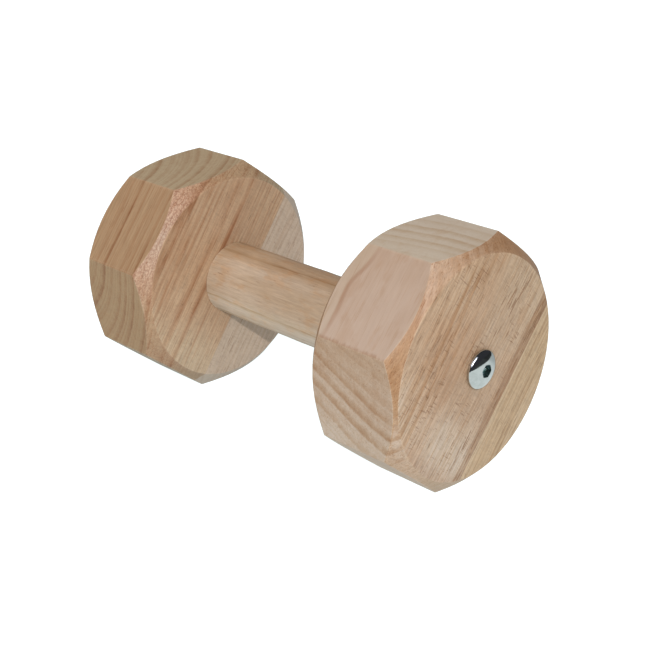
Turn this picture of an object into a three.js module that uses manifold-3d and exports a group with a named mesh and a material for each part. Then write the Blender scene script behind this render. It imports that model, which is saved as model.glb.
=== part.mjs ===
// Wooden retrieving dumbbell: two octagonal wooden heads on a round wooden handle, clamped together by a
// steel tie rod and two domed sleeve nuts. Millimetres, +Z up. The handle runs along X, the origin is on
// the floor midway between the heads, and the heads stand on their bottom flats at z = 0.
import * as THREE from 'three';
import { mergeVertices } from 'three/addons/utils/BufferGeometryUtils.js';
import Module from 'manifold-3d';

// ---------------------------------------------------------------- driving dimensions
const GAP = 0.3;                     // clearance between pieces that touch in the real object

const HEAD_LENGTH = 54;              // along the handle
const AXIS_HEIGHT = 61;              // floor to the handle's axis
const FACE_RADIUS = 56.5;            // circle left flat on each end face by the turned 45 degree chamfer
const TURNING_CENTRE_Y = -1;         // the chamfers were turned a millimetre off the bore
const GRIP_LENGTH = 120;             // between the heads' inner faces
const TURNING_STEPS = 144;           // sides of the turned chamfer

// Corners of each hand-sawn octagon as [y, z] from the bore's axis, anticlockwise seen from +X. They are
// about 120 across their flats, and a degree or two out of true, as sawn and glued.
const RIGHT_OCTAGON = [
  [59.5, 26.5], [27, 59], [-22, 61], [-58, 27.5], [-60.5, -24.5], [-25, -61], [24, -61], [61, -25],
];
const LEFT_OCTAGON = [
  [59.5, 24.5], [23.5, 60.5], [-27, 59], [-61.5, 22.5], [-60.5, -26], [-25, -61], [24, -61], [61.5, -25],
];

// Each head is two boards edge-glued on a plane that runs parallel to the handle.
const RIGHT_GLUE_LINE = { angle: 43, offset: 28 };   // degrees up from +Y, and mm below the bore's axis
const LEFT_GLUE_LINE = { angle: 49, offset: 11 };

const HANDLE_DIAMETER = 40;
const TENON_DIAMETER = 28;           // round tenon on each handle end, glued into the head's socket
const TENON_LENGTH = 20;
const TENON_CHAMFER = 1.5;

const ROD_DIAMETER = 8;              // M8 rod, threaded at both ends
const ROD_LENGTH = 210;
const ROD_CHAMFER = 1;
const ROD_THREAD_LENGTH = 26;
const ROD_THREAD_PITCH = 1.25;
const ROD_THREAD_DEPTH = 0.6;

const NUT_BARREL_DIAMETER = 11;
const NUT_BARREL_LENGTH = 32;
const NUT_THREAD_DEPTH = 25;         // blind threaded hole, from the barrel's inner end
const NUT_CAP_DIAMETER = 20;
const NUT_SEAT_DIAMETER = 18.4;      // the cap's underside, inside its rounded rim
const NUT_RIM_HEIGHT = 1.2;          // where the cap is widest
const NUT_CAP_HEIGHT = 4.6;
const HEX_KEY_SIZE = 6;              // across flats
const HEX_SOCKET_DEPTH = 3.8;

// ---------------------------------------------------------------- materials
const wood = (name, color, roughness) => new THREE.MeshStandardMaterial({ name, color, roughness, metalness: 0 });
const metal = (name, color, roughness) => new THREE.MeshStandardMaterial({ name, color, roughness, metalness: 1 });

const MATERIALS = {
  rightWide: wood('right_wide_board_wood', 0xb8977b, 0.62),
  rightNarrow: wood('right_narrow_board_wood', 0xbaa183, 0.62),
  leftWide: wood('left_wide_board_wood', 0xa68768, 0.62),
  leftNarrow: wood('left_narrow_board_wood', 0xad9987, 0.62),
  handle: wood('handle_beech', 0xb49b81, 0.58),
  nut: metal('polished_steel', 0xb7c1bf, 0.08),
  rod: metal('zinc_plated_steel', 0x8f9496, 0.35),
};

// ---------------------------------------------------------------- booleans
const wasm = await Module();
wasm.setup();

function toSolid(geometry) {
  const bare = geometry.clone();
  bare.deleteAttribute('normal');
  bare.deleteAttribute('uv');
  const merged = mergeVertices(bare, 1e-4);
  return new wasm.Manifold(new wasm.Mesh({
    numProp: 3,
    vertProperties: new Float32Array(merged.attributes.position.array),
    triVerts: new Uint32Array(merged.index.array),
  }));
}

function toGeometry(solid) {
  const mesh = solid.getMesh();
  const geometry = new THREE.BufferGeometry();
  geometry.setAttribute('position', new THREE.BufferAttribute(new Float32Array(mesh.vertProperties), 3));
  geometry.setIndex(new THREE.BufferAttribute(new Uint32Array(mesh.triVerts), 1));
  geometry.computeVertexNormals();
  return geometry;
}

// ---------------------------------------------------------------- shape helpers
// A solid turned about the X axis: outline points are [x, radius], from -X to +X.
function turned(outline, steps) {
  const points = outline.map(([x, radius]) => new THREE.Vector2(radius, x));
  return new THREE.LatheGeometry(points, steps).rotateZ(-Math.PI / 2);
}

// A [y, z] outline extruded along +X from x = 0.
function extrudedAlongX(outline, length) {
  const shape = new THREE.Shape(outline.map(([y, z]) => new THREE.Vector2(y, z)));
  const geometry = new THREE.ExtrudeGeometry(shape, { depth: length, bevelEnabled: false });
  const toFrame = new THREE.Matrix4().makeBasis(
    new THREE.Vector3(0, 1, 0), new THREE.Vector3(0, 0, 1), new THREE.Vector3(1, 0, 0),
  );
  return geometry.applyMatrix4(toFrame);
}

function addPiece(group, name, geometry, material, x) {
  const mesh = new THREE.Mesh(geometry, material);
  mesh.name = name;
  mesh.position.x = x;
  group.add(mesh);
}

// ---------------------------------------------------------------- heads
// The octagonal block with the corners of both end faces turned off at 45 degrees, around the origin.
function headBlock(corners) {
  const half = HEAD_LENGTH / 2;
  const reach = Math.max(...corners.map(([y, z]) => Math.hypot(y - TURNING_CENTRE_Y, z))) + 1;
  const drop = reach - FACE_RADIUS;
  const envelope = turned([
    [-half, 0], [-half, FACE_RADIUS], [-half + drop, reach],
    [half - drop, reach], [half, FACE_RADIUS], [half, 0],
  ], TURNING_STEPS).translate(0, TURNING_CENTRE_Y, 0);
  const prism = extrudedAlongX(corners, HEAD_LENGTH).translate(-half, 0, 0);
  return toSolid(envelope).intersect(toSolid(prism));
}

// The stepped hole through a head whose outer face looks along `side`: the nut's barrel at the outer
// face, the rod in the middle, and the handle's tenon at the inner face.
function headBore(side) {
  const half = HEAD_LENGTH / 2;
  const past = 1;
  const barrel = NUT_BARREL_DIAMETER / 2 + GAP;
  const rod = ROD_DIAMETER / 2 + GAP;
  const tenon = TENON_DIAMETER / 2 + GAP;
  const bore = turned([
    [-half - past, 0], [-half - past, tenon], [-half + TENON_LENGTH + GAP, tenon],
    [-half + TENON_LENGTH + GAP, rod], [half - NUT_BARREL_LENGTH - GAP, rod],
    [half - NUT_BARREL_LENGTH - GAP, barrel], [half + past, barrel], [half + past, 0],
  ], 48);
  if (side < 0) bore.rotateZ(Math.PI);
  return toSolid(bore);
}

// Everything on the lower right of the glue line, as one large block.
function belowGlueLine({ angle, offset }, play) {
  const size = 4 * FACE_RADIUS;
  const block = new THREE.BoxGeometry(size, size, size);
  block.translate(0, 0, -size / 2 - offset - play);
  return toSolid(block.rotateX(THREE.MathUtils.degToRad(angle)));
}

function addHead(group, side, name, corners, glueLine, wideMaterial, narrowMaterial) {
  const head = headBlock(corners).subtract(headBore(side));
  const wide = head.subtract(belowGlueLine(glueLine, -GAP / 2));
  const narrow = head.intersect(belowGlueLine(glueLine, GAP / 2));
  const x = side * (GRIP_LENGTH / 2 + HEAD_LENGTH / 2);
  addPiece(group, `${name}_head_wide_board`, toGeometry(wide), wideMaterial, x);
  addPiece(group, `${name}_head_narrow_board`, toGeometry(narrow), narrowMaterial, x);
}

// ---------------------------------------------------------------- handle
function handleGeometry() {
  const shoulder = GRIP_LENGTH / 2 - GAP;
  const end = GRIP_LENGTH / 2 + TENON_LENGTH;
  const grip = HANDLE_DIAMETER / 2;
  const tenon = TENON_DIAMETER / 2;
  const bore = ROD_DIAMETER / 2 + GAP;
  return turned([
    [-end, bore], [-end, tenon - TENON_CHAMFER], [-end + TENON_CHAMFER, tenon], [-shoulder, tenon],
    [-shoulder, grip], [shoulder, grip],
    [shoulder, tenon], [end - TENON_CHAMFER, tenon], [end, tenon - TENON_CHAMFER], [end, bore],
    [-end, bore],
  ], 72);
}

// ---------------------------------------------------------------- tie rod
// Outline of a threaded end as V grooves, from `start` towards +X.
function threadOutline(start, length) {
  const outer = ROD_DIAMETER / 2;
  const turns = Math.floor(length / ROD_THREAD_PITCH);
  const points = [];
  for (let turn = 0; turn < turns; turn += 1) {
    const x = start + turn * ROD_THREAD_PITCH;
    points.push([x, outer]);
    points.push([x + ROD_THREAD_PITCH / 2, outer - ROD_THREAD_DEPTH]);
  }
  points.push([start + turns * ROD_THREAD_PITCH, outer]);
  return points;
}

function tieRodGeometry() {
  const end = ROD_LENGTH / 2;
  const outer = ROD_DIAMETER / 2;
  return turned([
    [-end, 0], [-end, outer - ROD_CHAMFER],
    ...threadOutline(-end + ROD_CHAMFER, ROD_THREAD_LENGTH),
    ...threadOutline(end - ROD_CHAMFER - ROD_THREAD_LENGTH, ROD_THREAD_LENGTH),
    [end, outer - ROD_CHAMFER], [end, 0],
  ], 16);
}

// ---------------------------------------------------------------- sleeve nuts
// A quarter of an ellipse as [x, radius] points, from angle 0 (widest) to 90 degrees.
function quarterEllipse(centreX, innerRadius, reachX, reachRadius, steps) {
  const points = [];
  for (let step = 0; step <= steps; step += 1) {
    const angle = ((step / steps) * Math.PI) / 2;
    points.push([centreX + reachX * Math.sin(angle), innerRadius + reachRadius * Math.cos(angle)]);
  }
  return points;
}

// The cap's outline, from its flat seat round the rim to the apex.
function capOutline() {
  const widest = NUT_CAP_DIAMETER / 2;
  const seat = NUT_SEAT_DIAMETER / 2;
  const rim = quarterEllipse(NUT_RIM_HEIGHT, seat, -NUT_RIM_HEIGHT, widest - seat, 3).reverse();
  const dome = quarterEllipse(NUT_RIM_HEIGHT, 0, NUT_CAP_HEIGHT - NUT_RIM_HEIGHT, widest, 9);
  return [...rim, ...dome.slice(1, -1), [NUT_CAP_HEIGHT, 0]];
}

// The nut with its cap looking along +X and its cap's flat underside at x = 0.
function sleeveNutGeometry() {
  const barrel = NUT_BARREL_DIAMETER / 2;
  const thread = ROD_DIAMETER / 2 + GAP;
  const floor = -NUT_BARREL_LENGTH + NUT_THREAD_DEPTH;
  const body = toSolid(turned([
    [floor, 0], [floor, thread], [-NUT_BARREL_LENGTH, thread], [-NUT_BARREL_LENGTH, barrel],
    [0, barrel], ...capOutline(),
  ], 40));
  const corner = HEX_KEY_SIZE / Math.sqrt(3);
  const hexagon = [0, 1, 2, 3, 4, 5].map((side) => {
    const angle = (side * Math.PI) / 3;
    return [corner * Math.cos(angle), corner * Math.sin(angle)];
  });
  const socket = extrudedAlongX(hexagon, NUT_CAP_HEIGHT).translate(NUT_CAP_HEIGHT - HEX_SOCKET_DEPTH, 0, 0);
  return toGeometry(body.subtract(toSolid(socket)));
}

// ---------------------------------------------------------------- assembly
const dumbbell = new THREE.Group();
dumbbell.position.z = AXIS_HEIGHT;
addHead(dumbbell, 1, 'right', RIGHT_OCTAGON, RIGHT_GLUE_LINE, MATERIALS.rightWide, MATERIALS.rightNarrow);
addHead(dumbbell, -1, 'left', LEFT_OCTAGON, LEFT_GLUE_LINE, MATERIALS.leftWide, MATERIALS.leftNarrow);
addPiece(dumbbell, 'handle', handleGeometry(), MATERIALS.handle, 0);
addPiece(dumbbell, 'tie_rod', tieRodGeometry(), MATERIALS.rod, 0);

const capSeat = GRIP_LENGTH / 2 + HEAD_LENGTH + GAP / 2;
const leftNut = sleeveNutGeometry().rotateZ(Math.PI);
addPiece(dumbbell, 'right_sleeve_nut', sleeveNutGeometry(), MATERIALS.nut, capSeat);
addPiece(dumbbell, 'left_sleeve_nut', leftNut, MATERIALS.nut, -capSeat);

export default dumbbell;
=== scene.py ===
import math

import bmesh
import bpy
from mathutils import Matrix, Vector


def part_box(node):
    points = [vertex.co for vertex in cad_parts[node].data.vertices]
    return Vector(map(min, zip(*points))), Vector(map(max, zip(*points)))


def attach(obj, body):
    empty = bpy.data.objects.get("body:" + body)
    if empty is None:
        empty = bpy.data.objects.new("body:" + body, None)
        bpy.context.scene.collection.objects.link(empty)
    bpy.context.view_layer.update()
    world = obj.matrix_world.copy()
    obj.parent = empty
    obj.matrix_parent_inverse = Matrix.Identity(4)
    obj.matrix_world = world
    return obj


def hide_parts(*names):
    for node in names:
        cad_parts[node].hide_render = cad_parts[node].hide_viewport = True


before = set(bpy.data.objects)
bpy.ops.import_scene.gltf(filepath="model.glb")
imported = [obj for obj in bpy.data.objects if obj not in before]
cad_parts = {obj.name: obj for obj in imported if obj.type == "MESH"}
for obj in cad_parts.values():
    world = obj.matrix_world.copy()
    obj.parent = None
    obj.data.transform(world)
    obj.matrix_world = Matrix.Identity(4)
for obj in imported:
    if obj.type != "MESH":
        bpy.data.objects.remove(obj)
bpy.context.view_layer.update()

# Meshes are built in millimetres round the middle of the handle's axis, then put in the frame's metres.
MM = 0.001
handle_low, handle_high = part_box("handle")
head_low, head_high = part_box("right_head_wide_board")
AXIS_Z = (handle_low.z + handle_high.z) / 2 / MM
TO_FRAME = Matrix.Translation((0, 0, AXIS_Z * MM)) @ Matrix.Scale(MM, 4)

# ---- dimensions in mm
# They follow the CAD model, with some of its 0.3 mm gaps drawn tighter.
HEAD_X = (head_low.x + head_high.x) / 2 / MM
HEAD_HALF = (head_high.x - head_low.x) / 2 / MM
FACE_RADIUS = 56.5  # flat circle inside the turned 45 degree chamfer
TURNING_CENTRE = Vector((0, -1, 0))
RIGHT_OCTAGON = (
    (59.5, 26.5), (27, 59), (-22, 61), (-58, 27.5), (-60.5, -24.5), (-25, -61), (24, -61), (61, -25),
)
LEFT_OCTAGON = (
    (59.5, 24.5), (23.5, 60.5), (-27, 59), (-61.5, 22.5), (-60.5, -26), (-25, -61), (24, -61), (61.5, -25),
)
RIGHT_GRAIN = 43  # degrees up from +Y, along the boards and their glue line
LEFT_GRAIN = 49
RIGHT_GLUE = 28  # from the axis to the glue line
LEFT_GLUE = 11
GLUE_GAP = 0.08
CORNER_EASE = 0.6  # rounding of the octagon's corners
RIM_EASE = 0.3  # rounding of the turned edges

BARREL_BORE = 5.8  # radii of a head's bore, from its outer face inwards
ROD_BORE = 4.3
TENON_BORE = 14.15
BARREL_DEPTH = 32.3
TENON_DEPTH = 20.3

GRIP_RADIUS = (handle_high.y - handle_low.y) / 2 / MM
GRIP_HALF = 59.95
GRIP_EASE = 0.35
TENON_END = handle_high.x / MM
TENON_RADIUS = 14
TENON_CHAMFER = 1.5

NUT_SEAT_X = HEAD_X + HEAD_HALF + 0.02
BARREL_RADIUS = 5.5
BARREL_LENGTH = 32
BARREL_EASE = 0.5
NUT_HOLE_RADIUS = 4.15
NUT_HOLE_DEPTH = 25
NUT_HOLE_CHAMFER = 0.6
NUT_HOLE_POINT = 2  # depth of the drill's cone
CAP_RADIUS = 10
SEAT_RADIUS = 9.2
SEAT_FILLET = 0.3
RIM_HEIGHT = 1.2
CAP_HEIGHT = 4.6
HEX_APOTHEM = 3
SOCKET_DEPTH = 3.8
SOCKET_POINT = 0.7
SOCKET_MOUTH = HEX_APOTHEM * 1.22  # round countersink just outside the hexagon's corners
TURN_STEPS = 96  # points round the handle and the nuts


# ---- mesh helpers
def curve_through_corner(start, corner, end, steps):
    """Points of a quadratic curve that rounds off a corner."""
    points = []
    for step in range(steps + 1):
        t = step / steps
        points.append(tuple(
            a * (1 - t) ** 2 + b * 2 * t * (1 - t) + c * t ** 2 for a, b, c in zip(start, corner, end)
        ))
    return points


def skin(rings, wrap):
    """A closed skin over rings of points. A ring of one point closes the skin to a tip."""
    bm = bmesh.new()
    rows = [[bm.verts.new(point) for point in ring] for ring in rings]
    pairs = list(zip(rows, rows[1:]))
    if wrap:
        pairs.append((rows[-1], rows[0]))
    for one, other in pairs:
        count = max(len(one), len(other))
        for i in range(count):
            j = (i + 1) % count
            if len(one) == 1:
                bm.faces.new((one[0], other[j], other[i]))
            elif len(other) == 1:
                bm.faces.new((one[i], one[j], other[0]))
            else:
                bm.faces.new((one[i], one[j], other[j], other[i]))
    bmesh.ops.recalc_face_normals(bm, faces=bm.faces)
    return bm


def add_piece(name, bm, material, node):
    """Turns a bmesh in millimetres into a named object that stands for a CAD node."""
    eased_low, eased_high = math.radians(5), math.radians(35)
    sharp_angle = math.radians(32)
    mesh = bpy.data.meshes.new(name)
    worn = bm.verts.layers.float.new("worn")
    for vertex in bm.verts:
        angles = [edge.calc_face_angle(0) for edge in vertex.link_edges]
        vertex[worn] = float(any(eased_low < angle < eased_high for angle in angles))
    for face in bm.faces:
        face.smooth = True
    bm.to_mesh(mesh)
    bm.free()
    mesh.transform(TO_FRAME)
    mesh.set_sharp_from_angle(angle=sharp_angle)
    mesh.materials.append(material)
    piece = bpy.data.objects.new(name, mesh)
    bpy.context.scene.collection.objects.link(piece)
    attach(piece, "root")
    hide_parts(node)


# ---- heads
def octagon_outline(corners):
    """The octagon's outline with lightly rounded corners, and points close beside each rounding."""
    corner_steps = 4
    side_steps = 9
    side_start = CORNER_EASE * 1.8
    outline = []
    corners = [Vector(corner) for corner in corners]
    for i, corner in enumerate(corners):
        before = (corners[i - 1] - corner).normalized()
        following = corners[(i + 1) % len(corners)]
        after = (following - corner).normalized()
        arc = curve_through_corner(
            corner + before * CORNER_EASE, corner, corner + after * CORNER_EASE, corner_steps)
        outline.extend(arc)
        start = corner + after * side_start
        end = following - after * side_start
        for step in range(side_steps + 1):
            outline.append(tuple(start.lerp(end, step / side_steps)))
    return outline


def head_section(y, z):
    """A head's radial section through the outline point (y, z), as a closed loop of 3D points. It runs out
    over the inner face, over the side, in over the outer face (at +X) and down the bore."""
    rim_steps = 4
    cone_shares = (0.25, 0.5, 0.75)
    side_shares = (0.66, 0.33, 0, -0.33, -0.66)
    face_shares = (0, 0.02, 0.3, 0.6, 0.85)
    ease = RIM_EASE
    half = HEAD_HALF
    point = Vector((0, y, z))
    out = (point - TURNING_CENTRE).normalized()
    reach = (point - TURNING_CENTRE).length
    drop = reach - FACE_RADIUS
    slope = ease / math.sqrt(2)

    def turned(x, radius):
        return TURNING_CENTRE + out * radius + Vector((x, 0, 0))

    def bored(x, radius):
        return out * radius + Vector((x, 0, 0))

    rim = curve_through_corner(
        (half, FACE_RADIUS - ease), (half, FACE_RADIUS), (half - slope, FACE_RADIUS + slope), rim_steps)
    shoulder = curve_through_corner(
        (half - drop + slope, reach - slope), (half - drop, reach), (half - drop - ease, reach),
        rim_steps)
    cone = [(half - drop * share, FACE_RADIUS + drop * share) for share in cone_shares]
    flat = half - drop - 2 * ease
    side = [(half, FACE_RADIUS - 2 * ease), *rim, *cone, *shoulder, (flat, reach)]
    across = [(flat * share, reach) for share in side_shares]

    def face(x, bore_radius):
        """Points from the bore's edge out towards the face's rim."""
        inner = bored(x, bore_radius)
        outer = turned(x, FACE_RADIUS - 2 * ease)
        return [inner.lerp(outer, share) for share in face_shares]

    loop = [bored(-half + TENON_DEPTH, TENON_BORE)]
    loop.extend(face(-half, TENON_BORE))
    loop.extend(turned(-x, radius) for x, radius in side)
    loop.extend(turned(x, radius) for x, radius in reversed(across))
    loop.extend(turned(x, radius) for x, radius in reversed(side))
    loop.extend(reversed(face(half, BARREL_BORE)))
    loop.append(bored(half - BARREL_DEPTH, BARREL_BORE))
    loop.append(bored(half - BARREL_DEPTH, ROD_BORE))
    loop.append(bored(-half + TENON_DEPTH, ROD_BORE))
    return loop


def head_board(corners, side, grain, glue, keep):
    """One board of a head: the whole bored block, cut on the glue line.
    keep is +1 for the wide board's side of the line and -1 for the narrow one's."""
    bm = skin([head_section(y, z) for y, z in octagon_outline(corners)], wrap=True)
    if side < 0:
        bmesh.ops.scale(bm, vec=(-1, 1, 1), verts=bm.verts)
        bmesh.ops.reverse_faces(bm, faces=bm.faces)
    bmesh.ops.translate(bm, vec=(side * HEAD_X, 0, 0), verts=bm.verts)
    angle = math.radians(grain)
    across = Vector((0, -math.sin(angle), math.cos(angle))) * keep
    edge = -glue * keep + GLUE_GAP / 2
    everything = [*bm.verts, *bm.edges, *bm.faces]
    cut = bmesh.ops.bisect_plane(
        bm, geom=everything, dist=1e-4, plane_co=across * edge, plane_no=across, clear_inner=True)
    rim = [item for item in cut["geom_cut"] if isinstance(item, bmesh.types.BMEdge)]
    filled = bmesh.ops.edgeloop_fill(bm, edges=rim)
    bmesh.ops.triangulate(bm, faces=filled["faces"])
    bmesh.ops.recalc_face_normals(bm, faces=bm.faces)
    return bm


# ---- handle
def handle_mesh():
    """The turned handle, a touch uneven along its length, with its tenons and its bore."""
    ease = GRIP_EASE
    ease_steps = 3
    stations = 40
    outline = [
        (-TENON_END, ROD_BORE), (-TENON_END, TENON_RADIUS - TENON_CHAMFER),
        (-TENON_END + TENON_CHAMFER, TENON_RADIUS), (-GRIP_HALF, TENON_RADIUS),
    ]
    outline.extend(curve_through_corner(
        (-GRIP_HALF, GRIP_RADIUS - ease), (-GRIP_HALF, GRIP_RADIUS), (-GRIP_HALF + ease, GRIP_RADIUS),
        ease_steps))
    for station in range(stations + 1):
        x = (-1 + 2 * station / stations) * (GRIP_HALF - 2 * ease)
        unevenness = 0.05 * math.sin(x * 0.17 + 1) + 0.03 * math.sin(x * 0.41)
        outline.append((x, GRIP_RADIUS - 0.08 + unevenness))
    outline.extend(curve_through_corner(
        (GRIP_HALF - ease, GRIP_RADIUS), (GRIP_HALF, GRIP_RADIUS), (GRIP_HALF, GRIP_RADIUS - ease),
        ease_steps))
    outline.extend([
        (GRIP_HALF, TENON_RADIUS), (TENON_END - TENON_CHAMFER, TENON_RADIUS),
        (TENON_END, TENON_RADIUS - TENON_CHAMFER), (TENON_END, ROD_BORE),
    ])
    rings = []
    for step in range(TURN_STEPS):
        turn = 2 * math.pi * step / TURN_STEPS
        rings.append([(x, radius * math.cos(turn), radius * math.sin(turn)) for x, radius in outline])
    return skin(rings, wrap=True)


# ---- sleeve nuts
def dome_height(radius):
    """Height of the cap's elliptical dome above its seat."""
    return RIM_HEIGHT + (CAP_HEIGHT - RIM_HEIGHT) * math.sqrt(max(0, 1 - (radius / CAP_RADIUS) ** 2))


def hexagon_radius(turn, apothem):
    """Distance from the centre to a hexagon's edge in the direction turn."""
    sector = math.pi / 3
    return apothem / math.cos((turn + sector / 2) % sector - sector / 2)


def sleeve_nut_mesh(side, twist):
    """A domed cap with a hexagon socket, on a round barrel with a blind hole. twist turns the socket."""
    rim_steps = 6
    dome_steps = 16
    lip_wide, lip_narrow = 0.14, 0.06  # the socket's eased upper edge, outside the hexagon
    wall_top, wall_next = 0.38, 0.55  # where its straight wall starts, below the cap's top
    floor_ease = 0.05
    turns = [2 * math.pi * step / TURN_STEPS for step in range(TURN_STEPS)]

    def ring(x, radius):
        return [(x, radius * math.cos(turn), radius * math.sin(turn)) for turn in turns]

    def socket_ring(x, apothem):
        """A hexagonal ring at height x, or on the dome where x is None."""
        points = []
        for turn in turns:
            radius = hexagon_radius(turn, apothem)
            height = dome_height(radius) if x is None else x
            points.append((height, radius * math.cos(turn), radius * math.sin(turn)))
        return points

    hole_end = -BARREL_LENGTH + NUT_HOLE_DEPTH
    socket_floor = CAP_HEIGHT - SOCKET_DEPTH
    rings = [
        [(hole_end + NUT_HOLE_POINT, 0, 0)],
        ring(hole_end, NUT_HOLE_RADIUS),
        ring(-BARREL_LENGTH + NUT_HOLE_CHAMFER, NUT_HOLE_RADIUS),
        ring(-BARREL_LENGTH, NUT_HOLE_RADIUS + NUT_HOLE_CHAMFER),
        ring(-BARREL_LENGTH, BARREL_RADIUS - BARREL_EASE),
        ring(-BARREL_LENGTH + BARREL_EASE, BARREL_RADIUS),
        ring(-SEAT_FILLET, BARREL_RADIUS),
        ring(0, BARREL_RADIUS + SEAT_FILLET),
        ring(0, SEAT_RADIUS - SEAT_FILLET),
    ]
    under_rim = curve_through_corner(
        (0, SEAT_RADIUS), (RIM_HEIGHT * 0.25, CAP_RADIUS), (RIM_HEIGHT, CAP_RADIUS), rim_steps)
    rings.extend(ring(x, radius) for x, radius in under_rim)
    for step in range(1, dome_steps + 1):
        radius = CAP_RADIUS * math.cos(math.radians(90) * step / dome_steps)
        if radius > SOCKET_MOUTH:
            rings.append(ring(dome_height(radius), radius))
    rings.extend([
        ring(dome_height(SOCKET_MOUTH), SOCKET_MOUTH),
        socket_ring(None, HEX_APOTHEM + lip_wide),
        socket_ring(None, HEX_APOTHEM + lip_narrow),
        socket_ring(CAP_HEIGHT - wall_top, HEX_APOTHEM),
        socket_ring(CAP_HEIGHT - wall_next, HEX_APOTHEM),
        socket_ring(socket_floor, HEX_APOTHEM),
        ring(socket_floor - floor_ease, HEX_APOTHEM * 0.9),
        [(socket_floor - SOCKET_POINT, 0, 0)],
    ])
    bm = skin(rings, wrap=False)
    socket_turn = Matrix.Rotation(math.radians(twist), 3, "X")
    bmesh.ops.rotate(bm, cent=(0, 0, 0), matrix=socket_turn, verts=bm.verts)
    if side < 0:
        bmesh.ops.rotate(bm, cent=(0, 0, 0), matrix=Matrix.Rotation(math.pi, 3, "Z"), verts=bm.verts)
    bmesh.ops.translate(bm, vec=(side * NUT_SEAT_X, 0, 0), verts=bm.verts)
    return bm


# ---- shader helpers
class Nodes:
    """Short ways to add nodes to one material or world. A value is a number, a colour or another socket."""

    def __init__(self, owner):
        owner.use_nodes = True
        self.owner = owner
        self.tree = owner.node_tree
        self.tree.nodes.clear()

    def node(self, kind, inputs=(), **settings):
        made = self.tree.nodes.new(kind)
        for key, value in settings.items():
            setattr(made, key, value)
        for key, value in dict(inputs).items():
            self.put(made.inputs[key], value)
        return made

    def put(self, target, value):
        if isinstance(value, bpy.types.NodeSocket):
            self.tree.links.new(value, target)
        elif target.type == "RGBA" and len(value) == 3:
            target.default_value = (*value, 1)
        else:
            target.default_value = value

    def math(self, operation, *values):
        return self.node("ShaderNodeMath", enumerate(values), operation=operation).outputs[0]

    def sum(self, *values):
        total = values[0]
        for value in values[1:]:
            total = self.math("ADD", total, value)
        return total

    def product(self, *values):
        total = values[0]
        for value in values[1:]:
            total = self.math("MULTIPLY", total, value)
        return total

    def length(self, one, other):
        return self.math("SQRT", self.sum(self.product(one, one), self.product(other, other)))

    def combine(self, x, y, z):
        return self.node("ShaderNodeCombineXYZ", enumerate((x, y, z))).outputs[0]

    def split(self, vector):
        return self.node("ShaderNodeSeparateXYZ", {0: vector}).outputs

    def noise(self, vector, scale, detail=2.0, roughness=0.5, output=0):
        made = self.node("ShaderNodeTexNoise", {
            "Vector": vector, "Scale": scale, "Detail": detail, "Roughness": roughness,
        })
        return made.outputs[output]

    def remap(self, value, low, high, to_low=0.0, to_high=1.0, smooth=True):
        """Takes the range from low to high to another one, and holds the ends beyond it."""
        made = self.node("ShaderNodeMapRange", {0: value, 1: low, 2: high, 3: to_low, 4: to_high})
        made.interpolation_type = "SMOOTHSTEP" if smooth else "LINEAR"
        return made.outputs[0]

    def ramp(self, value, stops, interpolation="LINEAR"):
        """A ramp of (position, grey level or colour)."""
        made = self.node("ShaderNodeValToRGB", {0: value})
        ramp = made.color_ramp
        ramp.interpolation = interpolation
        while len(ramp.elements) > 1:
            ramp.elements.remove(ramp.elements[-1])
        for index, (position, level) in enumerate(stops):
            element = ramp.elements[0] if index == 0 else ramp.elements.new(position)
            element.position = position
            element.color = (level,) * 3 + (1,) if isinstance(level, (int, float)) else (*level, 1)
        return made.outputs[0]

    def mix(self, factor, one, other, blend="MIX"):
        made = self.node("ShaderNodeMix", data_type="RGBA", blend_type=blend)
        factor_socket, one_socket, other_socket = made.inputs[0], made.inputs[6], made.inputs[7]
        self.put(factor_socket, factor)
        self.put(one_socket, one)
        self.put(other_socket, other)
        return made.outputs[2]

    def shaded(self, color, share, shade):
        """The colour times a shade, as far as the share goes."""
        return self.mix(share, color, shade, "MULTIPLY")

    def choose(self, factor, one, other):
        """Mixes two shaders."""
        return self.node("ShaderNodeMixShader", {0: factor, 1: one, 2: other}).outputs[0]

    def emission(self, color, strength):
        return self.node("ShaderNodeEmission", {"Color": color, "Strength": strength}).outputs[0]

    def bump(self, strength, height, distance):
        inputs = {"Strength": strength, "Distance": distance, "Height": height}
        return self.node("ShaderNodeBump", inputs).outputs[0]

    def finish(self, **inputs):
        """Adds the surface shader and the output, and gives the finished material."""
        shader = self.node("ShaderNodeBsdfPrincipled")
        for key, value in inputs.items():
            self.put(shader.inputs[key.replace("_", " ")], value)
        self.node("ShaderNodeOutputMaterial", {"Surface": shader.outputs[0]})
        return self.owner


# ---- wood
# Kinds of noise: (scales per mm through, along and across the board), detail, roughness.
BENDS = (0.03, 0.011, 0.03), 2.0, 0.5
RING_JITTER = (0.5, 0.05, 0.5), 2.0, 0.5
RING_BREAKS = (0.16, 0.035, 0.16), 3.0, 0.6
FIBRES = (1.1, 0.10, 1.1), 4.0, 0.7
STREAKS = (0.42, 0.018, 0.42), 4.0, 0.62
HAIRS = (2.2, 0.05, 2.2), 2.0, 0.6
PORES = (0.95, 0.10, 0.95), 3.0, 0.62
FLECKS = (0.4, 1.15, 0.16), 3.0, 0.62
CROWDS = (0.08, 0.03, 0.08), 2.0, 0.5
BLOTCHES = (0.16, 0.07, 0.16), 3.0, 0.6
RIPPLES = (0.5, 1.1, 0.35), 3.0, 0.65
TORN_GRAIN = (1.3, 0.8, 1.3), 2.0, 0.7

# Ramps of (position, level).
FINE_RING = [(0.0, 0.0), (0.35, 0.12), (0.8, 0.9), (0.9, 1.0), (1.0, 0.0)]
RIPPLE_TONES = [(0.3, 0.87), (0.5, 1.0), (0.72, 1.05)]
TAN_AT = 0.45  # darkness of the wood's middle colour
CLOUD_SCALE = 0.028  # per mm, for the broadest changes of tone

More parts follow.
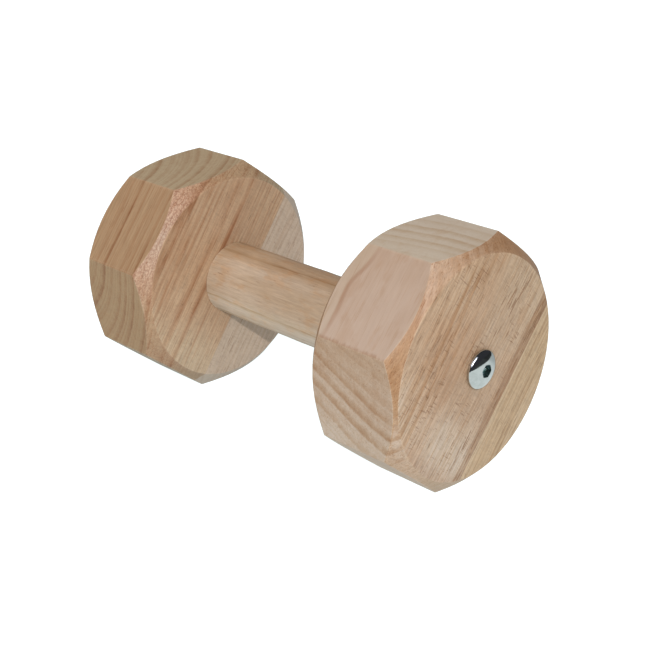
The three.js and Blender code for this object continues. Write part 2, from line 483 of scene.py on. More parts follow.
RING_WANDER = 0.9  # mm across which a bold ring strays
ZONE_WANDER = 4.0  # mm that a zone's border follows the streaks
WHITE = (1.0, 1.0, 1.0)
PORE_DARKNESS = 0.65
FLECK_DARKNESS = 0.6


def ring_stops(rings, low, high):
    """Ramp stops for growth rings (distance, width, strength): each darkens slowly and ends sharply."""
    span = high - low
    stops = [(0.0, 0.0)]
    for distance, width, strength in rings:
        place = distance - low
        stops.append(((place - width) / span, 0.0))
        stops.append((place / span, strength))
        stops.append(((place + width * 0.25) / span, 0.0))
    return stops


def spread_stops(stops):
    """Stops at their own distances, moved to a ramp's range from 0 to 1."""
    low, high = stops[0][0], stops[-1][0]
    return low, high, [((at - low) / (high - low), level) for at, level in stops]


class Wood(Nodes):
    """Solid wood, worked out in three dimensions so that the figure runs through every face of a board.
    place is the middle of the head or handle, and grain the board's angle. look describes the figure."""

    def __init__(self, name, place, grain, look):
        super().__init__(bpy.data.materials.new(name))
        self.look = look
        self.grain = grain
        self.find_place(place)
        self.find_regions()
        self.breaks = self.noise_in_board(RING_BREAKS)
        self.fibre = self.noise_in_board(FIBRES)
        self.streak = self.noise_in_board(STREAKS)
        self.mottle = self.noise_in_board(TORN_GRAIN)
        self.radius = self.ring_radius()
        self.pore = self.pores()
        self.fleck = self.flecks()

    def find_place(self, place):
        """Where in the board a point is, in mm, and which way the surface faces there."""
        angle = math.radians(self.grain)
        centre = Matrix.Rotation(-angle, 3, "X") @ Vector(place)
        self.in_board = self.node("ShaderNodeMapping", {
            "Vector": self.node("ShaderNodeTexCoord").outputs["Object"],
            "Location": tuple(-centre), "Rotation": (-angle, 0, 0), "Scale": (1 / MM,) * 3,
        }).outputs[0]
        x, y, z = self.split(self.in_board)
        if self.look["along"] == "y":
            self.thick, self.along, self.wide = x, y, z
        else:
            self.thick, self.along, self.wide = y, x, z
        normal = self.node("ShaderNodeNewGeometry").outputs["Normal"]
        normal_x, self.normal_y, self.normal_z = self.split(normal)
        self.slant = self.math("ABSOLUTE", normal_x)

    def facing(self, direction):
        """Cosine between the surface's normal and a direction, in degrees round the handle."""
        turn = math.radians(direction)
        return self.sum(
            self.product(self.normal_y, math.cos(turn)), self.product(self.normal_z, math.sin(turn)))

    def noise_in_board(self, kind, output=0):
        """Noise stretched by its own amount in each of the board's directions."""
        scales, detail, roughness = kind
        coordinates = zip((self.thick, self.along, self.wide), scales)
        place = self.combine(*(self.product(value, scale) for value, scale in coordinates))
        return self.noise(place, 1.0, detail, roughness, output)

    def find_regions(self):
        """How much a point is on a head's end face, on its turned chamfers, and on each sawn flat."""
        look = self.look
        self.end_face = self.remap(self.slant, 0.7, 0.95)
        self.chamfer = self.product(
            self.remap(self.slant, 0.3, 0.6), self.remap(self.slant, 0.8, 0.97, 1.0, 0.0))
        self.on_flat = self.remap(self.slant, 0.1, 0.3, 1.0, 0.0)
        self.flats = []
        self.calm = 0.0
        self.ring_share = self.sum(
            self.remap(self.chamfer, 0.0, 1.0, 1.0, look.get("rings_on_chamfers", 1.0)),
            self.product(self.end_face, look.get("rings_on_faces", 1.0) - 1))
        for direction, calmness, rings_left, shade in look.get("flats", ()):
            share = self.product(self.on_flat, self.remap(self.facing(direction), 0.80, 0.95))
            self.flats.append((share, shade))
            self.calm = self.sum(self.calm, self.product(share, calmness))
            self.ring_share = self.sum(self.ring_share, self.product(share, rings_left - 1))
        self.lively = self.math("SUBTRACT", 1.0, self.calm)

    def ring_radius(self):
        """Distance from the tree's heart, which leans a little along the board, after slow bends."""
        look = self.look
        wave = look["wave"]
        heart_thick, heart_wide = look["heart"]
        lean_thick, lean_wide = look["lean"]
        bend_thick, bend_wide, _ = self.split(self.noise_in_board(BENDS, "Color"))
        off_thick = self.sum(
            self.thick, self.product(bend_thick, wave), self.product(self.along, -lean_thick),
            -heart_thick - wave / 2)
        off_wide = self.sum(
            self.wide, self.product(bend_wide, wave), self.product(self.along, -lean_wide),
            -heart_wide - wave / 2)
        radius = self.length(off_thick, off_wide)
        if "straighten" in look:
            low, high, slope = look["straighten"]
            share = self.remap(self.wide, low, high, 1.0, 0.0, smooth=False)
            radius = self.sum(radius, self.product(self.along, slope, share))
        return radius

    def bold_rings(self):
        """Bold rings at their own distances, broken here and there."""
        look = self.look
        low, high = look["ring_range"]
        jitter = self.product(self.noise_in_board(RING_JITTER), RING_WANDER)
        in_range = self.remap(self.sum(self.radius, jitter, -RING_WANDER / 2), low, high, smooth=False)
        rings = self.ramp(in_range, ring_stops(look["rings"], low, high))
        broken = self.remap(self.breaks, 0.32, 0.62, look["broken"], 1.1)
        unbroken_on_calm_flats = 0.8
        strength = self.sum(
            self.product(broken, self.lively), self.product(self.calm, unbroken_on_calm_flats))
        return self.product(rings, strength, self.ring_share)

    def fine_rings(self):
        """Finer rings, unevenly spaced and of uneven strength."""
        look = self.look
        drift = self.combine(self.product(self.radius, 0.35), self.product(self.along, 0.006), 0.0)
        uneven = self.noise(drift, 1.0)
        phase = self.sum(self.product(self.radius, 1 / look["fine_spacing"]), self.product(uneven, 1.6))
        rings = self.ramp(self.math("FRACT", phase), FINE_RING)
        strength = self.remap(uneven, 0.3, 0.7, 0.35, 1.0)
        on_calm_flats = self.remap(self.calm, 0.0, 1.0, 1.0, 0.15)
        return self.product(rings, strength, look["fine_strength"], on_calm_flats)

    def crowding(self, patches):
        """Where marks gather: (wide, along, half_wide, half_along, gain) for each patch."""
        crowd = self.product(self.noise_in_board(CROWDS), 1.2)
        for middle_wide, middle_along, half_wide, half_along, gain in patches:
            off_wide = self.product(self.sum(self.wide, -middle_wide), 1 / half_wide)
            off_along = self.product(self.sum(self.along, -middle_along), 1 / half_along)
            crowd = self.sum(crowd, self.remap(self.length(off_wide, off_along), 0.2, 1.2, gain, 0.0))
        return crowd

    def marks(self, kind, patches, share):
        """Thin dark marks: the deepest dips of a stretched noise, and more of them where they crowd."""
        raised = self.product(self.sum(self.crowding(patches), share), 0.13)
        dips = self.noise_in_board(kind)
        return self.remap(dips, self.sum(raised, 0.295), self.sum(raised, 0.235))

    def pores(self):
        """Thin dark dashes along the grain, gathered in loose groups."""
        look = self.look
        pores = self.marks(PORES, look.get("pore_patches", ()), look["pores"])
        pores = self.product(pores, self.lively, self.remap(self.chamfer, 0.0, 1.0, 1.0, 0.3))
        if look["along"] == "y":
            pores = self.product(pores, self.remap(self.end_face, 0.0, 1.0, 0.25, 1.0))
        return pores

    def flecks(self):
        """Short dashes across the grain, in groups of their own, on the end faces only."""
        look = self.look
        flecks = self.marks(FLECKS, look.get("fleck_patches", ()), look["flecks"])
        return self.product(flecks, self.end_face)

    def find_darkness(self):
        """How dark the figure is: rings, then streaks and hairs along the grain."""
        look = self.look
        rings = self.math("MAXIMUM", self.bold_rings(), self.fine_rings())
        streaks = self.product(self.sum(self.streak, -0.5), look["streaks"], self.lively)
        hair = self.remap(self.noise_in_board(HAIRS), 0.42, 0.30, 0.0, look["hairs"])
        return self.sum(rings, streaks, self.product(hair, self.lively))

    def with_zones(self, color):
        """Broad changes of tone across the board, each on one kind of surface; some are partly painted
        light.
        """
        coordinates = {"wide": self.wide, "radius": self.radius, "along": self.along}
        shares = {"faces": self.end_face, "chamfers": self.chamfer, "flats": self.on_flat, "all": 1.0}
        wander = self.product(self.sum(self.streak, -0.5), ZONE_WANDER)
        for coordinate, stops, where in self.look.get("zones", ()):
            low, high, stops = spread_stops(stops)
            spread = self.remap(self.sum(coordinates[coordinate], wander), low, high, smooth=False)
            color = self.shaded(color, shares[where], self.ramp(spread, stops, "EASE"))
        return color

    def with_texture(self, color):
        """Clouds, blotches, fibres and the ripple of the end faces, then the pores and flecks."""
        look = self.look
        cloud = self.remap(self.noise(self.in_board, CLOUD_SCALE, 3.0), 0.35, 0.65)
        color = self.shaded(color, cloud, look["cloud"])
        if "blotch" in look:
            blotch = self.remap(self.noise_in_board(BLOTCHES), 0.5, 0.68)
            color = self.shaded(color, blotch, look["blotch"])
        thread = self.ramp(self.fibre, [(0.25, 1 - look["fibres"]), (0.75, 1.0)])
        color = self.shaded(color, self.lively, thread)
        ripple = self.ramp(self.noise_in_board(RIPPLES), RIPPLE_TONES)
        color = self.shaded(color, self.end_face, ripple)
        color = self.mix(self.product(self.pore, PORE_DARKNESS), color, look["pore_color"])
        return self.mix(self.product(self.fleck, FLECK_DARKNESS), color, look["pore_color"])

    def with_cuts(self, color):
        """Tones of the sides that cut across the grain, of each sawn flat, and of the chamfers, which are
        mottled where the tool tore the grain. The shades by facing are partly painted light and shade."""
        look = self.look
        across_cut = self.slant
        if look["along"] == "y":
            across_cut = self.math("ABSOLUTE", self.facing(self.grain))
        color = self.shaded(color, self.remap(across_cut, 0.3, 0.72), look["end_grain"])
        for share, shade in self.flats:
            color = self.shaded(color, share, shade)
        for direction, low, high, shade, torn in look.get("chamfer", ()):
            share = self.product(self.chamfer, self.remap(self.facing(direction), low, high))
            color = self.shaded(color, share, shade)
            tones = [(0.0, look["torn_dark"]), (1.0, look["torn_pale"])]
            speckle = self.ramp(self.remap(self.mottle, 0.36, 0.64), tones)
            color = self.shaded(color, self.product(share, torn), speckle)
        return color

    def with_back_line(self, color):
        """One flat's curved dark line near its inner edge, painted shade of an edge the mesh lacks, and a
        lighter tone behind it, partly painted light.
        """
        direction, course, painted_edge_shade, rim_tone_and_painted_light = self.look["back_line"]
        deepest = max(inset for _, inset in course)
        low, high, stops = spread_stops([(at, inset / deepest) for at, inset in course])
        spread = self.remap(self.along, low, high, smooth=False)
        inset = self.product(self.ramp(spread, stops, "B_SPLINE"), deepest)
        beyond = self.math("SUBTRACT", self.sum(self.thick, HEAD_HALF), inset)
        share = self.product(
            self.remap(self.slant, 0.5, 0.75, 1.0, 0.0), self.remap(self.facing(direction), 0.78, 0.88))
        line = self.remap(self.math("ABSOLUTE", beyond), 0.3, 2.2, 1.0, 0.0)
        line = self.product(share, line, self.remap(self.breaks, 0.35, 0.6, 0.35, 1.0))
        color = self.shaded(color, line, painted_edge_shade)
        rim = self.product(share, self.remap(beyond, -1.5, 0.0, 1.0, 0.0))
        return self.shaded(color, rim, rim_tone_and_painted_light)

    def build(self):
        """The whole material: colour, then wear along the eased edges, relief and sheen."""
        look = self.look
        darkness = self.find_darkness()
        color = self.ramp(darkness, [(0.0, look["early"]), (TAN_AT, look["tan"]), (1.0, look["late"])])
        color = self.with_cuts(self.with_texture(self.with_zones(color)))
        if "back_line" in look:
            color = self.with_back_line(color)
        worn = self.node("ShaderNodeAttribute", attribute_name="worn").outputs["Fac"]
        worn = self.product(worn, self.remap(self.fibre, 0.35, 0.7, 0.0, 0.22))
        color = self.mix(worn, color, look["worn"])

        relief = self.sum(
            self.product(self.fibre, 0.6), self.product(darkness, 0.25),
            self.product(self.pore, -0.8), self.product(self.fleck, -0.3))
        relief = self.sum(
            self.product(relief, self.lively), self.product(self.chamfer, self.mottle, 0.6))
        roughest = self.sum(self.fibre, self.product(self.pore, 0.4))
        rough = self.remap(roughest, 0.2, 1.0, look["rough"] - 0.06, look["rough"] + 0.12)
        return self.finish(
            Base_Color=color, Roughness=rough, Specular_IOR_Level=0.35,
            Normal=self.bump(strength=0.5, height=relief, distance=0.12 * MM))


# ---- metals
def polished_steel():
    """Bright plated steel with faint turning marks and finger smudges, and a duller socket with painted
    shade inside it.
    """
    bright, dimmed = (0.57, 0.59, 0.57), (0.51, 0.53, 0.51)
    socket_painted_shade = (0.16, 0.23, 0.22)
    socket_edge = 3.0 * MM, 3.5 * MM
    socket_roughness = 0.3
    turning_marks = 9000.0  # noise scales per metre
    marks_along = 2500.0
    smudges = 320.0

    s = Nodes(bpy.data.materials.new("polished_steel"))
    position = s.node("ShaderNodeTexCoord").outputs["Object"]
    x, y, z = s.split(position)
    from_axis = s.combine(0.0, y, s.sum(z, -AXIS_Z * MM))
    radius = s.node("ShaderNodeVectorMath", {0: from_axis}, operation="LENGTH").outputs["Value"]
    marks = s.noise(
        s.combine(s.product(radius, turning_marks), s.product(x, marks_along), 0.0), 1.0, 3.0, 0.7)
    smudge = s.noise(position, smudges, 3.0, 0.6)
    # The socket's inside is painted dark teal, as painted shade in the recess, and it is also made rougher.
    socket = s.remap(radius, *socket_edge, 1.0, 0.0)
    color = s.mix(s.remap(smudge, 0.35, 0.7), bright, dimmed)
    color = s.mix(socket, color, socket_painted_shade)
    rough = s.sum(
        s.remap(smudge, 0.4, 0.75, 0.03, 0.10), s.remap(marks, 0.3, 0.8, 0.0, 0.03),
        s.product(socket, socket_roughness))
    height = s.sum(s.product(marks, 0.15), s.product(smudge, 0.85))
    return s.finish(
        Base_Color=color, Metallic=1.0, Roughness=rough,
        Normal=s.bump(strength=0.12, height=height, distance=0.1 * MM))


def zinc_plated_steel():
    """Duller plated steel with streaks along the rod."""
    pale, dark = (0.50, 0.53, 0.54), (0.40, 0.42, 0.42)
    streaks_along, streaks_across = 60.0, 1800.0  # noise scales per metre
    spangles = 500.0

    s = Nodes(bpy.data.materials.new("zinc_plated_steel"))
    position = s.node("ShaderNodeTexCoord").outputs["Object"]
    x, y, z = s.split(position)
    stretched = s.combine(
        s.product(x, streaks_along), s.product(y, streaks_across), s.product(z, streaks_across))
    drawn = s.noise(stretched, 1.0, 4.0)
    color = s.mix(s.remap(s.noise(position, spangles), 0.35, 0.7), pale, dark)
    return s.finish(
        Base_Color=color, Metallic=1.0, Roughness=s.remap(drawn, 0.3, 0.75, 0.26, 0.46),
        Normal=s.bump(strength=0.3, height=drawn, distance=0.1 * MM))


# ---- the boards' own figures
# Distances are in mm from the middle of the head or handle, radii in mm from the tree's heart, and
# directions in degrees round the handle from +Y. A shade multiplies the colour.
#   along: the axis the board lies along, before its grain is turned
#   heart, lean, wave: the tree's heart (through, across), its lean per mm along, and its bends
#   straighten: (low, high, slope), where across the board the rings run straighter
#   rings: (radius, width, strength), in ring_range; rings_on_chamfers and _faces: the share left there
#   broken: what is left of a bold ring where it breaks up
#   streaks, hairs, fibres: strength of what runs along the grain
#   flats: (direction, calmness, share of the bold rings left, shade), the shade partly painted light
#   zones: (coordinate, [(place, shade), ...], surfaces)
#   cloud, blotch, end_grain: shades of broad patches, small patches, and sides across the grain
#   pores, flecks: how many there are; their patches: (across, along, half, half, gain), where more crowd
#   chamfer: (direction, cosine from, cosine to, shade, mottling), the shade partly painted light
#   back_line: (direction, [(place along, inset), ...], shade of the line, shade behind it), a painted edge
#       shade
# Shades by facing (flats, chamfer) and some zones are partly the wood's tones and partly painted light and
# shade.
RIGHT_WIDE = {
    "along": "y", "heart": (42.5, 242.3), "lean": (-0.48, 0.134), "wave": 3.0,
    "straighten": (-8, 20, -0.0875), "ring_range": (180, 280),
    "rings_on_chamfers": 0.6, "rings_on_faces": 0.65,
    "rings": [
        (190, 3, 0.35), (197, 3.5, 0.5), (202, 3.5, 0.85), (208, 3.5, 1.0), (213.6, 3.5, 0.95),
        (220, 3.5, 0.6), (229, 2, 0.3), (249, 1.5, 0.45), (258, 1.6, 0.45),
    ],
    "fine_spacing": 2.4, "fine_strength": 0.28, "streaks": 1.0, "hairs": 0.9, "fibres": 0.34,
    "early": (0.585, 0.445, 0.345), "tan": (0.49, 0.325, 0.21), "late": (0.37, 0.195, 0.095),
    "flats": (
        (93, 0.75, 0.5, (0.90, 0.94, 0.96)),
        (137, 0.75, 0.35, (0.84, 0.81, 0.81)),
        (182, 0.35, 0.85, (0.99, 0.985, 0.975)),
        (224, 0.3, 0.8, (0.95, 0.86, 0.74)),
    ),
    "zones": (
        # Towards the face's lower end (-44) it is painted paler and bluer: partly the wood's tone, partly
        # painted light from the floor below.
        ("along", [
            (-60, (0.94, 0.88, 0.82)), (-44, (1.12, 1.18, 1.20)), (-14, (0.95, 0.88, 0.78)),
            (0, (0.96, 0.88, 0.77)), (20, (0.98, 0.93, 0.83)), (60, (1.01, 0.98, 0.87)),
        ], "faces"),
        ("radius", [
            (185, (1.08, 1.06, 1.03)), (205, (1.06, 1.02, 0.98)), (224, (0.98, 0.91, 0.85)),
            (236, WHITE), (264, WHITE), (266, (0.74, 0.65, 0.57)),
            (268, (0.86, 0.79, 0.72)), (270.3, (0.70, 0.61, 0.53)), (280, (0.70, 0.61, 0.53)),
        ], "faces"),
        ("along", [
            (-61, (0.90, 0.89, 0.90)), (-42, (0.86, 0.80, 0.77)), (-24, (0.77, 0.66, 0.57)),
            (-22, (1.02, 1.04, 1.06)), (2, (0.99, 0.99, 0.99)), (24, (0.95, 0.93, 0.90)),
            (61, (0.95, 0.96, 0.97)),
        ], "flats"),
        ("wide", [
            (55.5, (0.98, 0.96, 0.92)), (58.5, (1.04, 1.05, 1.07)), (62, (1.04, 1.05, 1.07)),
        ], "chamfers"),
    ),
    "pore_patches": (
        (-1, 37, 9, 24, 0.9), (-25, 40, 4, 30, 0.9), (-25.5, -14, 3, 50, 1.0), (38, -8, 14, 36, 0.45),
        (-17, -32, 2.5, 30, 0.9), (24, -30, 14, 18, 0.2), (8, 0, 14, 12, 0.3),
    ),
    "fleck_patches": (
        (28, -28, 18, 26, 0.65), (-16, 24, 8, 8, 0.6), (-4, -20, 12, 8, 0.6),
        (36, 30, 16, 16, 0.5), (6, 4, 14, 14, 0.4),
    ),
    "cloud": (0.95, 0.92, 0.89), "blotch": (0.96, 0.92, 0.88), "end_grain": (1.07, 1.15, 1.18),
    "broken": 0.35, "pores": 0.0, "flecks": -0.1, "pore_color": (0.20, 0.095, 0.04),
    "chamfer": (
        (135, 0.3, 0.65, (0.98, 0.90, 0.83), 0.25),
        (157, 0.585, 0.68, (0.84, 0.72, 0.56), 0.2),
        # The chamfer facing down (202) is painted paler and bluer: partly painted light from the floor
        # below.
        (202, 0.61, 0.69, (1.08, 1.10, 1.18), 0.1),
        (34, 0.28, 0.62, (0.67, 0.49, 0.34), 0.3),
        (238, 0.43, 0.66, (0.87, 0.77, 0.67), 0.15),
    ),
    "torn_dark": (0.84, 0.76, 0.70), "torn_pale": (1.08, 1.06, 1.04),
    # A dark line painted as the shade of an edge the mesh lacks, with a lighter band behind it that is
    # partly painted light.
    "back_line": (
        137, ((-24, 8.4), (-9, 10.8), (4, 7.4), (14, 13.5), (26, 16)),
        (0.85, 0.75, 0.68), (1.02, 1.06, 1.05),
    ),
    "worn": (0.60, 0.46, 0.33), "rough": 0.52,
}
RIGHT_NARROW = {
    "along": "y", "heart": (-120, 260), "lean": (0.02, 0.03), "wave": 2.0, "ring_range": (280, 380),
    "rings_on_chamfers": 0.8,
    "rings": [
        (308, 2, 0.5), (318, 2.5, 0.6), (326, 2, 0.3), (328.8, 1.5, 0.5), (331.4, 1.5, 0.55),
        (334.1, 1.8, 0.5), (337.5, 2, 0.5), (340.5, 2, 0.6), (345, 2.2, 0.5), (351, 2.2, 0.5),
    ],
    "fine_spacing": 2.1, "fine_strength": 0.35, "streaks": 1.1, "hairs": 0.4, "fibres": 0.34,
    "early": (0.60, 0.44, 0.295), "tan": (0.49, 0.325, 0.19), "late": (0.31, 0.17, 0.08),
    "zones": (
        ("wide", [
            (-61, (1.01, 1.0, 0.97)), (-32, (1.01, 1.0, 0.97)), (-30, (1.04, 1.05, 1.04)),
            (-28, (1.04, 1.05, 1.04)),
        ], "faces"),
    ),
    "cloud": (0.96, 0.95, 0.92), "end_grain": (0.92, 0.95, 0.97), "broken": 0.5,
    "pores": 0.2, "flecks": -1.0, "pore_color": (0.24, 0.14, 0.07),
    "chamfer": ((320, 0.1, 0.6, (0.89, 0.78, 0.67), 0.2),),
    "torn_dark": (0.84, 0.76, 0.70), "torn_pale": (1.06, 1.04, 1.03),
    "worn": (0.58, 0.46, 0.32), "rough": 0.54,
}
LEFT_WIDE = {
    "along": "y", "heart": (-43, 76), "lean": (0.0, 0.0), "wave": 2.5, "ring_range": (0, 150),
    "rings_on_chamfers": 0.8,
    "rings": [
        (34.5, 2.5, 0.6), (41, 3.2, 1.0), (47, 2.5, 0.5), (54, 3, 0.6), (58.5, 2.5, 0.7), (64.5, 3, 0.8),
        (74.4, 3, 0.95), (78, 2.5, 0.75), (86.5, 2.5, 0.7), (92.2, 3, 1.0),
    ],
    "fine_spacing": 1.9, "fine_strength": 0.45, "streaks": 1.0, "hairs": 0.5, "fibres": 0.3,
    "early": (0.46, 0.325, 0.20), "tan": (0.385, 0.235, 0.13), "late": (0.27, 0.125, 0.055),
    "flats": (
        (92, 0.4, 0.8, (1.01, 0.99, 0.98)),
        (137, 0.25, 0.85, (0.92, 0.835, 0.765)),
        (181, 0.3, 0.9, (0.88, 0.74, 0.61)),
    ),
    "zones": (
        ("radius", [
            (0, WHITE), (91, WHITE), (94, (0.93, 0.93, 0.93)), (150, (0.93, 0.93, 0.93)),
        ], "all"),
        # The end face is painted lighter, and paler and bluer towards its lower end (-48). This painted
        # light evens it with the lit chamfers and stands in for the floor's glow below.
        ("along", [
            (-48, (1.34, 1.44, 1.60)), (-28, (1.25, 1.21, 1.26)), (0, (1.23, 1.17, 1.20)),
            (50, (1.21, 1.15, 1.16)),
        ], "faces"),
    ),
    "cloud": (0.96, 0.94, 0.92), "end_grain": (0.94, 1.05, 1.10), "broken": 0.45,
    "pores": -0.2, "flecks": -1.0, "pore_color": (0.18, 0.09, 0.045),
    "chamfer": (
        # The front chamfer (137) is painted paler and bluer, with strong pale mottling: partly painted
        # sheen where the key light glances off the torn end grain.
        (137, 0.5, 0.69, (1.04, 1.09, 1.25), 0.8),
        (92, 0.45, 0.68, (1.02, 0.92, 0.86), 0.5),
        (186, 0.45, 0.66, (1.08, 1.0, 0.97), 0.2),
        (245, 0.3, 0.65, (0.92, 0.82, 0.78), 0.2),
    ),
    "torn_dark": (0.80, 0.64, 0.58), "torn_pale": (1.18, 1.17, 1.20),
    "worn": (0.52, 0.38, 0.26), "rough": 0.52,
}
LEFT_NARROW = {
    "along": "y", "heart": (-200, 190), "lean": (0.02, -0.02), "wave": 2.0, "ring_range": (200, 380),
    "rings": [(270, 2, 0.3), (290, 2, 0.3), (310, 2, 0.3)],
    "fine_spacing": 2.6, "fine_strength": 0.35, "streaks": 0.8, "hairs": 0.25, "fibres": 0.2,
    "early": (0.515, 0.40, 0.303), "tan": (0.44, 0.315, 0.222), "late": (0.34, 0.22, 0.14),
    "cloud": (0.97, 0.97, 0.99), "end_grain": (0.92, 0.95, 0.97), "broken": 0.5,
    "pores": 0.15, "flecks": -1.0, "pore_color": (0.26, 0.16, 0.11),
    "worn": (0.56, 0.44, 0.33), "rough": 0.54,
}
HANDLE = {
    "along": "x", "heart": (98, -69), "lean": (0.01, -0.01), "wave": 1.2, "ring_range": (90, 150),
    "rings": [(104, 2.5, 0.4), (112, 2.5, 0.5), (118, 2.5, 0.6), (126, 3, 0.7), (135.1, 1.3, 0.8)],
    "fine_spacing": 3.1, "fine_strength": 0.22, "streaks": 0.35, "hairs": 0.3, "fibres": 0.3,
    "early": (0.53, 0.40, 0.288), "tan": (0.45, 0.315, 0.20), "late": (0.34, 0.20, 0.10),
    # Bands round the handle: the top (86) is painted darker and the underside (209) paler and bluer. They
    # are partly the wood's own bands and partly painted light from the bright floor below.
    "flats": (
        (86, 0.0, 1.0, (0.88, 0.80, 0.70)),
        (209, 0.0, 1.0, (1.18, 1.29, 1.40)),
    ),
    "zones": (
        ("along", [
            (-60, WHITE), (-38, (1.08, 1.08, 1.10)), (-12, (0.97, 0.96, 0.97)),
            (10, (0.95, 0.96, 0.99)), (60, (0.95, 0.97, 1.03)),
        ], "all"),
    ),
    "cloud": (1.0, 0.95, 0.88), "blotch": (1.0, 0.90, 0.80), "end_grain": (0.85, 0.85, 0.85),
    "broken": 0.6, "pores": -0.35, "flecks": -1.0, "pore_color": (0.22, 0.11, 0.05),
    "worn": (0.56, 0.43, 0.31), "rough": 0.50,
}


# ---- stage, light and camera
FLOOR_HALF = 6  # m, half the length of its side
FLOOR_DROP = 0.0004  # m, so that the object's flats don't lie in the same plane


def mirrored_floor(s):
    """What reflections show of the floor: a bright table, dimmer to one side, that ends in a bent edge with
    a dark shape beyond it."""
    tint = (0.90, 0.98, 1.0)
    away = math.radians(35)  # direction of the dark shape, round from +X
    edge, bend = 0.33, 0.35  # m to the edge, and how fast it recedes to the sides
    dark_level, dim_level = 0.06, 0.6
    x, y, _ = s.split(s.node("ShaderNodeTexCoord").outputs["Object"])
    outward = s.sum(s.product(x, math.cos(away)), s.product(y, math.sin(away)))
    sideways = s.sum(s.product(y, math.cos(away)), s.product(x, -math.sin(away)))
    beyond = s.sum(outward, -edge, s.product(s.math("ABSOLUTE", sideways), -bend))
    shown = s.product(
        s.remap(beyond, -0.015, 0.03, 1.0, dark_level), s.remap(sideways, -0.03, 0.05, 1.0, dim_level))
    return s.emission(tint, shown)


def add_floor():
    """A plain pale floor. The camera sees it brighter than the light it gives, so it comes out white."""
    s = Nodes(bpy.data.materials.new("pale_floor"))
    matte = s.node("ShaderNodeBsdfDiffuse", {"Color": (0.24, 0.24, 0.24), "Roughness": 0.5}).outputs[0]
    glow = s.emission((0.86, 0.97, 1.0), 0.74)
    table = s.node("ShaderNodeAddShader", {0: matte, 1: glow}).outputs[0]
    bright = s.node("ShaderNodeAddShader", {0: table, 1: s.emission(WHITE, 0.30)}).outputs[0]
    path = s.node("ShaderNodeLightPath").outputs
    seen = s.choose(path["Is Camera Ray"], table, bright)
    seen = s.choose(path["Is Glossy Ray"], seen, mirrored_floor(s))
    s.node("ShaderNodeOutputMaterial", {"Surface": seen})
    bm = bmesh.new()
    bmesh.ops.create_grid(bm, x_segments=8, y_segments=8, size=FLOOR_HALF)
    mesh = bpy.data.meshes.new("pale_floor")
    bm.to_mesh(mesh)
    bm.free()
    mesh.materials.append(s.owner)
    floor = bpy.data.objects.new("pale_floor", mesh)
    bpy.context.scene.collection.objects.link(floor)
    floor.location.z = -FLOOR_DROP


def long_lamp(s, direction):
    """The glow of a long bright lamp in a dim room, by direction from the object."""
    middle = Vector((0.62, -0.40, 0.67)).normalized()
    length = Vector((0.376, 0.894, 0.235)).normalized()
    half_length, half_width, half_depth = 0.42, 0.16, 0.8
    brightness = 120.0  # times the room's own
    width = middle.cross(length).normalized()
    front = width.cross(length).normalized()
    if front.dot(middle) < 0:
        front = -front

    def within(axis, centre, half):
        """1 where the direction's share along the axis is near the centre, and 0 beyond half from it."""
        share = s.node("ShaderNodeVectorMath", {0: direction, 1: axis}, operation="DOT_PRODUCT")
        off = s.math("ABSOLUTE", s.math("SUBTRACT", share.outputs["Value"], centre))
        return s.remap(off, half * 1.15, half * 0.85, smooth=False)

    lamp = s.product(
        within(length, middle.dot(length), half_length), within(width, 0.0, half_width),
        within(front, 1.0, half_depth))
    return s.remap(lamp, 0.0, 1.0, 1.0, brightness, smooth=False)


def add_world():
    """Even light from all round, stronger from overhead. Glossy surfaces see a dim room with one long lamp
    instead, and the camera sees plain white."""
    world = bpy.data.worlds.new("studio")
    bpy.context.scene.world = world
    s = Nodes(world)

    def background(color, strength):
        return s.node("ShaderNodeBackground", {"Color": color, "Strength": strength}).outputs[0]

    direction = s.node("ShaderNodeTexCoord").outputs["Generated"]
    path = s.node("ShaderNodeLightPath").outputs
    height = s.split(direction)["Z"]
    soft = background((1.0, 0.99, 0.98), s.remap(height, 0.1, 0.9, 0.44, 0.84, smooth=False))
    room = background((0.044, 0.045, 0.054), long_lamp(s, direction))
    seen = s.choose(path["Is Glossy Ray"], soft, room)
    seen = s.choose(path["Is Camera Ray"], seen, background(WHITE, 1.04))
    s.node("ShaderNodeOutputWorld", {"Surface": seen})


def add_light(name, kind, energy, direction, distance=0.0):
    """A light that shines on the object from a direction. A sun has no use for the distance."""
    light = bpy.data.lights.new(name, kind)
    light.energy = energy
    light_object = bpy.data.objects.new(name, light)
    light_object.location = direction * distance + Vector((0, 0, AXIS_Z * MM))
    light_object.rotation_mode = "QUATERNION"
    light_object.rotation_quaternion = (-direction).to_track_quat("-Z", "Y")
    bpy.context.scene.collection.objects.link(light_object)
    return light


def add_lights():
    """A weak sun with a fairly sharp shadow, and a soft panel in the same direction."""
    direction = Vector((0.60, -0.555, 0.577)).normalized()
    key = add_light("key", "SUN", 1.75, direction)
    key.angle = math.radians(1.2)
    key.color = (1.0, 0.985, 0.97)
    panel = add_light("panel", "AREA", 1.0, direction, distance=1.6)
    panel.shape = "RECTANGLE"
    panel.size = 0.5
    panel.size_y = 0.5


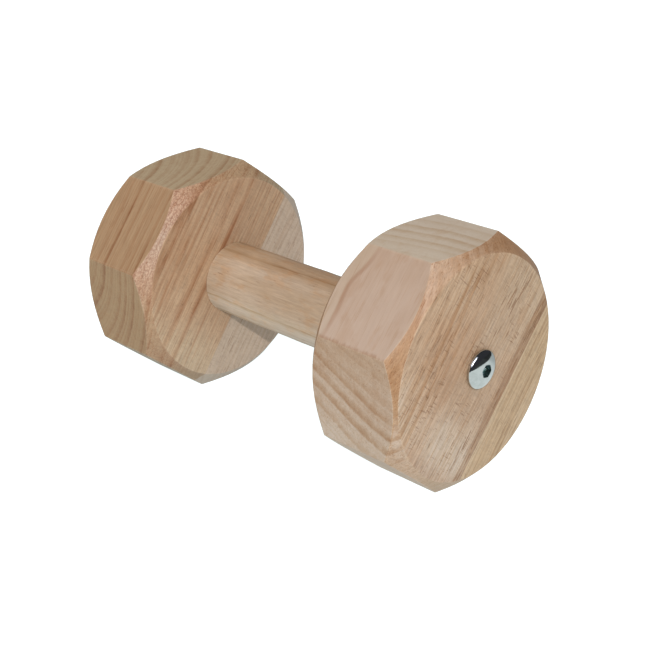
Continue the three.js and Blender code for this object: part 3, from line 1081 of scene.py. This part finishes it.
def add_camera():
    """The camera looks down over the right head's front, a little tilted, from about 0.68 m."""
    azimuth, elevation, roll = math.radians(46.53), math.radians(27.13), math.radians(-4.75)
    distance = 675.46  # mm from the middle of the handle
    aside, upward = -8.45, -10.55  # mm that it is moved in its own plane
    focal_share = 1276.52 / 650  # focal length over the image's width
    back = Vector((
        math.sin(azimuth) * math.cos(elevation),
        -math.cos(azimuth) * math.cos(elevation),
        math.sin(elevation),
    ))
    right = (-back).cross(Vector((0, 0, 1))).normalized()
    up = right.cross(-back)
    right, up = (
        right * math.cos(roll) + up * math.sin(roll),
        up * math.cos(roll) - right * math.sin(roll),
    )
    place = TO_FRAME @ (back * distance - right * aside + up * upward)
    camera = bpy.data.cameras.new("camera")
    camera.sensor_width = 36
    camera.lens = camera.sensor_width * focal_share
    camera.clip_start = 0.05
    camera.clip_end = 30
    camera_object = bpy.data.objects.new("camera", camera)
    turn = Matrix((right, up, back)).transposed().to_4x4()
    camera_object.matrix_world = Matrix.Translation(place) @ turn
    bpy.context.scene.collection.objects.link(camera_object)
    bpy.context.scene.camera = camera_object


# ---- build
add_camera()
add_floor()
add_world()
add_lights()

BOARDS = (
    ("right", 1, RIGHT_OCTAGON, RIGHT_GRAIN, RIGHT_GLUE, RIGHT_WIDE, RIGHT_NARROW),
    ("left", -1, LEFT_OCTAGON, LEFT_GRAIN, LEFT_GLUE, LEFT_WIDE, LEFT_NARROW),
)
for end, side, corners, grain, glue, wide_look, narrow_look in BOARDS:
    for width, keep, look in (("wide", 1, wide_look), ("narrow", -1, narrow_look)):
        slot = f"{end}_{width}_board_wood"
        wood = Wood(slot, (side * HEAD_X, 0, AXIS_Z), grain, look).build()
        board = head_board(corners, side, grain, glue, keep)
        add_piece(f"{end}_{width}_board", board, wood, f"{end}_head_{width}_board")

handle_wood = Wood("handle_beech", (0, 0, AXIS_Z), 0, HANDLE).build()
add_piece("turned_handle", handle_mesh(), handle_wood, "handle")

steel = polished_steel()
SOCKET_TWISTS = (("right", 1, 12), ("left", -1, 40))
for end, side, twist in SOCKET_TWISTS:
    nut = sleeve_nut_mesh(side, twist)
    add_piece(f"{end}_domed_nut", nut, steel, f"{end}_sleeve_nut")

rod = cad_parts["tie_rod"]
rod.data.materials.clear()
rod.data.materials.append(zinc_plated_steel())

bpy.context.scene.view_settings.view_transform = "Standard"
